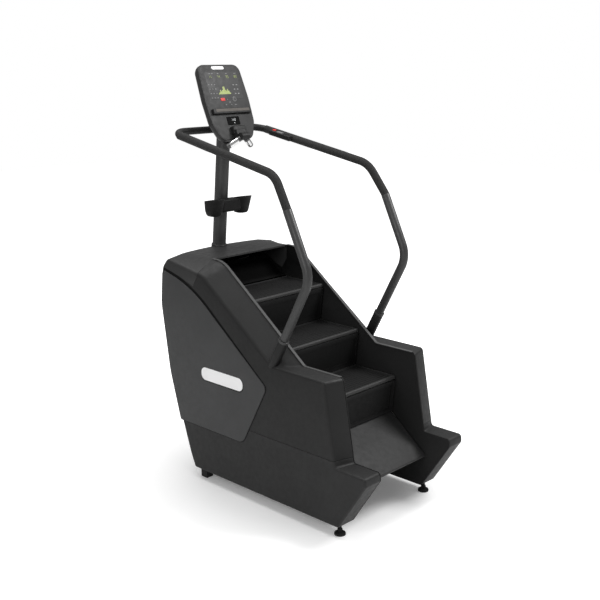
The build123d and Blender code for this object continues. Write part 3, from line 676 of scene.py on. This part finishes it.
def console_body():
    outline = arc_round(CONSOLE_POINTS, CONSOLE_RADII)
    shape = (
        (-CONSOLE_DEPTH, 34), (-56, 30), (-40, 8), (-30, 2.5), (-22, 0), (-6, 0),
        (-2, 1.5), (-1, 4), (-1.2, 8), (-9, 9),
    )
    back = loft("console_housing", slab_rings(outline, shape, on_console), CONSOLE_RIM)
    show(back, "machine", "console_back")
    face = slab("face", inset(outline, 5), -8, 0.0, (1, 1.6), on_console, CONSOLE_FACE)
    groove = slab("groove", oblong(0, -66, 296, 7, 2), -0.4, 0.5, (0.1, 0.2), on_console, BLACK)
    show(joined("console_front", face, groove), "machine", "console_face")


# The display layout: u, v and sizes on the console face.
FILM_AT, FILM_SIZE = (0, 95), (231, 149)
READOUT_LEFT, READOUT_PITCH, READOUT_V = -86, 60, 142
READOUT_VALUES = (14, 74, 36, 80)
DIGIT_PITCH, DIGIT_WIDTH, DIGIT_HEIGHT, DIGIT_THICK = 12, 7, 13, 1.3
PROFILE_LEFT, PROFILE_FOOT, PROFILE_PITCH, PROFILE_WIDTH = -46, 46, 7.2, 6.9
PROFILE_HEIGHTS = (5, 12, 24, 17, 24, 41, 42, 24, 19, 28, 19, 8)
LEGEND_V = 160
KEY_PITCH = 24
LEFT_KEYS, LEFT_KEY_PITCH, LEFT_KEY_SIZE = (-102, 100), 20, (6, 4)
RIGHT_KEYS, RIGHT_KEY_PITCH, RIGHT_KEY_SIZE = (70, 96), 22, (10, 5)
SMALL_LEGENDS = [
    (-60, LEGEND_V, 12, 3), (0, 18, 4, 4), (12, 2, 8, 4),
    (-18, -12, 10, 3), (20, -12, 6, 3), (50, -12, 14, 3),
]


def key_grid(start, rows, columns, pitch, size):
    """Legend marks of a block of keys, from its top left key."""
    u, v = start
    places = [(column, row) for row in range(rows) for column in range(columns)]
    return [(u + pitch * column, v - KEY_PITCH * row, *size) for column, row in places]


def lit_readouts():
    """The digits of the four readouts and the bars of the workout profile."""
    bars = []
    for column, value in enumerate(READOUT_VALUES):
        for place, number in enumerate((value // 10, value % 10)):
            u = READOUT_LEFT + READOUT_PITCH * column + DIGIT_PITCH * place
            bars += digit_bars(number, u, READOUT_V, DIGIT_WIDTH, DIGIT_HEIGHT, DIGIT_THICK)
    for column, tall in enumerate(PROFILE_HEIGHTS):
        u = PROFILE_LEFT + PROFILE_PITCH * column
        bars.append((u, PROFILE_FOOT + tall / 2, PROFILE_WIDTH, tall))
    return bars


def console_display():
    film = slab("display_film", oblong(*FILM_AT, *FILM_SIZE, 8), -0.5, 0.6, (0.1, 0.4), on_console, SCREEN)
    show(film, "machine", "console_display")
    readouts = marks("display_readouts", lit_readouts(), 1.1, GREEN_LIGHT)
    show(readouts, "machine", slot="console_display")
    legends = key_grid(LEFT_KEYS, 4, 3, LEFT_KEY_PITCH, LEFT_KEY_SIZE)
    legends += key_grid(RIGHT_KEYS, 3, 2, RIGHT_KEY_PITCH, RIGHT_KEY_SIZE)
    legends += SMALL_LEGENDS
    for column in range(len(READOUT_VALUES)):
        u = READOUT_LEFT + READOUT_PITCH * column + DIGIT_PITCH / 2
        legends.append((u, LEGEND_V, 14, 2.4))
    show(marks("key_legends", legends, 1.0, LEGEND), "machine", slot="console_display")


STOP_KEY_SIZE = (30, 16)
START_RING_RADIUS, START_CORE_RADIUS = 13, 10.5


def console_keys():
    """The red stop key and the round start key, which press into the face."""
    outline = oblong(*STOP_AT, *STOP_KEY_SIZE, 4)
    stop = slab("stop_key_cap", outline, -4.5, 2.2, (0.3, 1.2), on_console, RED)
    show(stop, "stop_key", "console_stop_key")
    rim = disc(*START_AT, START_RING_RADIUS)
    ring = slab("ring", rim, -4.5, 1.8, (0.3, 1.0), on_console, LEGEND)
    middle = disc(*START_AT, START_CORE_RADIUS)
    core = slab("core", middle, 0, 2.1, (0.3, 0.8), on_console, CONSOLE_RIM)
    show(joined("start_key_cap", ring, core), "start_key", "console_start_key")


LOWER_DISPLAY_AT, LOWER_DISPLAY_SIZE = (0, -100), (88, 46)
LOWER_DIGITS, LOWER_DIGITS_AT, LOWER_DIGIT_PITCH = (1, 2, 0), (-10, -95), 11
TRAY_AT, TRAY_SIZE = (2, -48), (268, 28)
TRAY_PAD_AT, TRAY_PAD_SIZE = (4, -45), (236, 16)
BRACKET_COVER_AT, BRACKET_COVER_SIZE = (10, -156), (92, 46)


def lower_readout():
    """The small black display under the media tray, with its digits and one dot."""
    outline = oblong(*LOWER_DISPLAY_AT, *LOWER_DISPLAY_SIZE, 5)
    glass = slab("lower_glass", outline, -1.5, 1.4, (0.2, 0.9), on_console, BLACK_GLASS)
    show(glass, "machine", "lower_display")
    left, middle = LOWER_DIGITS_AT
    bars = []
    for place, number in enumerate(LOWER_DIGITS):
        bars += digit_bars(number, left + LOWER_DIGIT_PITCH * place, middle, 6, 11, 1.4)
    bars.append((4, middle - 17, 6, 4))
    show(marks("lower_digits", bars, 1.9, WHITE_LIGHT), "machine", slot="lower_display")


def media_tray():
    tray = slab("tray", oblong(*TRAY_AT, *TRAY_SIZE, 3), 0, 16, (0.5, 2), on_console, BLACK)
    pad = slab("tray_pad", oblong(*TRAY_PAD_AT, *TRAY_PAD_SIZE, 2), 14, 16.8, (0.5, 1.2), on_console, INSERT)
    show(joined("media_tray", tray, pad), "machine", "media_ledge")


def bracket_cover():
    outline = oblong(*BRACKET_COVER_AT, *BRACKET_COVER_SIZE, 8)
    cover = slab("grip_bracket_cover", outline, -0.5, 24, (0.5, 6), on_console, BLACK)
    show(cover, "machine", slot="grip_bracket")


# ---------------------------------------------------------------- everything else


CUP_X, CUP_Y, CUP_TOP = 98.0, 566.0, 1476.0
CUP_TILT = 0.15
# Each level of a cup: drop below the rim, half width, reach to the front, reach to the rear.
CUP_OUTSIDE = (
    (-88, 24, 24, 24), (-86, 32, 30, 34), (-78, 38, 36, 42), (-52, 44, 44, 48),
    (-14, 49, 56, 46), (-2, 51, 60, 44), (0, 50, 59, 43),
)
CUP_INSIDE = ((-2, 48, 57, 41), (-14, 45, 52, 42), (-52, 40, 40, 44), (-72, 34, 32, 36), (-76, 24, 24, 24))


def cup_ring(side, drop, half_width, front, rear, steps=44):
    """One level of a cup: rounder behind, pushed out towards the user in front, its rim tipped up."""
    ring = []
    for k in range(steps):
        angle = 2 * pi * k / steps
        across, along = cos(angle), sin(angle)
        square = 1 / (abs(across) ** 2.6 + abs(along) ** 2.6) ** (1 / 2.6)
        y = along * square * (rear if along > 0 else front)
        tip = -CUP_TILT * y if drop > -60 else 0.0
        ring.append(at(side * CUP_X + across * square * half_width, CUP_Y + y, CUP_TOP + drop + tip - 6))
    return ring


def cup_holder():
    """One moulded piece: two flared cups and the bridge round the post."""
    pieces = []
    for side in (-1, 1):
        rings = [cup_ring(side, *level) for level in CUP_OUTSIDE + CUP_INSIDE]
        pieces.append(loft("cup", rings, CUP))
    bridge = arc_round([(-74, 528), (74, 528), (66, 598), (-66, 598)], [18] * 4)
    pieces.append(slab("bridge", bridge, CUP_TOP - 76, CUP_TOP - 8, (16, 6), at, CUP))
    show(joined("moulded_cup_holder", *pieces), "machine", "cup_holder")


def islands(bm):
    """The separate closed skins of a mesh, as lists of vertices."""
    bmesh.ops.remove_doubles(bm, verts=bm.verts, dist=1e-6)
    left = set(bm.verts)
    found = []
    while left:
        stack, group = [left.pop()], []
        while stack:
            vert = stack.pop()
            group.append(vert)
            near = [edge.other_vert(vert) for edge in vert.link_edges]
            stack += [v for v in near if v in left]
            left.difference_update(near)
        found.append(group)
    return found


def folded_tread():
    """The lowest tread with a closed, smooth top, and its hinge rod."""
    bm = bmesh.new()
    bm.from_mesh(NODES["step_4_tread"].data)
    plate = max(islands(bm), key=lambda group: max(v.co.y for v in group) - min(v.co.y for v in group))
    hull = bmesh.new()
    bmesh.ops.convex_hull(hull, input=[hull.verts.new(v.co) for v in plate])
    bmesh.ops.delete(bm, geom=plate, context="VERTS")
    top = soften(make_object("tread", hull, LIT_FOLDED_TREAD), 3.0, 3, 25)
    rod_piece = make_object("hinge", bm, STEEL)
    show(joined("folded_tread", baked(top), rod_piece), "step_4", "step_4_tread")


def dress_frame_nodes():
    """Materials for the CAD pieces that stay as they are."""
    plan = {
        WALL: ["inner_walls"],
        TRIM_HIGHLIGHT: ["rim_trims"],
        SHELL: ["rear_panel"],
        TREAD: [f"step_{n}_tread" for n in (1, 2, 3)] + [f"step_{n}" for n in (5, 6, 7)],
        LIT_FOLDED_TREAD: ["step_4_tread"],
        DARK_STEP: ["step_8"],
        RISER: [f"step_{n}_riser" for n in (1, 2, 3, 4)],
        POST: ["console_post"],
        BLACK: ["power_inlet", "rail_control_body", "rail_speed_rocker", "grip_bracket"],
        RED: ["rail_stop_button"],
        CHROME: ["contact_plates"],
        GRIP_METAL: ["front_grips"],
        CASTING: ["alternator_housing", "shaft_bearings"],
        STEEL: ["upper_shaft", "lower_shaft", "upper_sprockets", "lower_sprockets", "step_chains",
                "drive_pulley", "alternator_rotor"],
        FRAME: ["base_rails", "cross_members", "uprights", "incline_beams", "post_carrier",
                "alternator_bracket"],
        RUBBER: ["rear_feet", "front_foot_left", "front_foot_right", "drive_belt"],
        BOARD: ["console_circuit_board"],
    }
    for material, names in plan.items():
        for name in names:
            mesh = NODES[name].data
            mesh.materials.clear()
            mesh.materials.append(material)


# ---------------------------------------------------------------- stage


AMBIENT = 0.34
# Name, place, target, size and watts of each lamp.
LIGHTS = (
    ("key", (2.4, -2.6, 4.6), (0, 0, 0.6), 2.2, 190),
    ("fill", (-4.2, -1.2, 2.6), (0, 0.1, 1.0), 2.6, 60),
    ("top", (-0.6, 1.4, 5.2), (0, 0.2, 1.0), 3.0, 120),
)
CAMERA_PLACE = (-3.53205, -3.32954, 2.22318)
CAMERA_AZIMUTH, CAMERA_ELEVATION = radians(-46.458), radians(14.156)
CAMERA_LENS = 58.26


def light(name, place, target, size, power):
    lamp = bpy.data.lights.new(name, "AREA")
    lamp.shape = "DISK"
    lamp.size = size
    lamp.energy = power
    holder = bpy.data.objects.new(name, lamp)
    bpy.context.scene.collection.objects.link(holder)
    holder.location = place
    holder.rotation_euler = (Vector(target) - Vector(place)).to_track_quat("-Z", "Y").to_euler()


def white_surround(ambient):
    """A white backdrop whose light on the object is only that strong."""
    world = bpy.data.worlds.new("studio")
    world.use_nodes = True
    tree = world.node_tree
    surround = tree.nodes["Background"]
    surround.inputs["Color"].default_value = (1, 1, 1, 1)
    surround.inputs["Strength"].default_value = ambient
    backdrop = tree.nodes.new("ShaderNodeBackground")
    mix = tree.nodes.new("ShaderNodeMixShader")
    link(tree, tree.nodes.new("ShaderNodeLightPath").outputs["Is Camera Ray"], mix.inputs[0])
    link(tree, surround.outputs[0], mix.inputs[1])
    link(tree, backdrop.outputs[0], mix.inputs[2])
    backdrop.inputs["Color"].default_value = (1, 1, 1, 1)
    link(tree, mix.outputs[0], tree.nodes["World Output"].inputs["Surface"])
    bpy.context.scene.world = world


def whiten_far(material):
    """Lifts the floor to white away from the object, for the camera only."""
    tree = material.node_tree
    shader = tree.nodes["Principled BSDF"]
    place = tree.nodes.new("ShaderNodeTexCoord").outputs["Object"]
    radius = tree.nodes.new("ShaderNodeVectorMath")
    radius.operation = "LENGTH"
    link(tree, place, radius.inputs[0])
    lift = spread(tree, radius.outputs["Value"], 0.5, 2.4, 0.12, 1.0)
    seen = tree.nodes.new("ShaderNodeMath")
    seen.operation = "MULTIPLY"
    link(tree, lift, seen.inputs[0])
    link(tree, tree.nodes.new("ShaderNodeLightPath").outputs["Is Camera Ray"], seen.inputs[1])
    shader.inputs["Emission Color"].default_value = (1, 1, 1, 1)
    link(tree, seen.outputs[0], shader.inputs["Emission Strength"])


def stage():
    bm = bmesh.new()
    bmesh.ops.create_grid(bm, x_segments=8, y_segments=8, size=14)
    floor_material = finish("pale_floor", tone(250), rough=0.9, vary=0.01, bump=0.02, wear=0.0)
    whiten_far(floor_material)
    floor = make_object("floor", bm, floor_material)
    white_surround(AMBIENT)
    for lamp in LIGHTS:
        light(*lamp)
    bpy.context.scene.view_settings.view_transform = "Standard"


def camera():
    data = bpy.data.cameras.new("view")
    data.lens = CAMERA_LENS
    data.sensor_width = 36
    data.clip_end = 60
    holder = bpy.data.objects.new("view", data)
    bpy.context.scene.collection.objects.link(holder)
    holder.location = CAMERA_PLACE
    level = cos(CAMERA_ELEVATION)
    back = Vector((sin(CAMERA_AZIMUTH) * level, -cos(CAMERA_AZIMUTH) * level, sin(CAMERA_ELEVATION)))
    holder.rotation_euler = (-back).to_track_quat("-Z", "Y").to_euler()
    bpy.context.scene.camera = holder


def main():
    camera()
    stage()
    dress_frame_nodes()
    housing_shells()
    top_cap()
    side_panels()
    handrail()
    console_body()
    console_display()
    console_keys()
    lower_readout()
    media_tray()
    bracket_cover()
    cup_holder()
    folded_tread()


main()
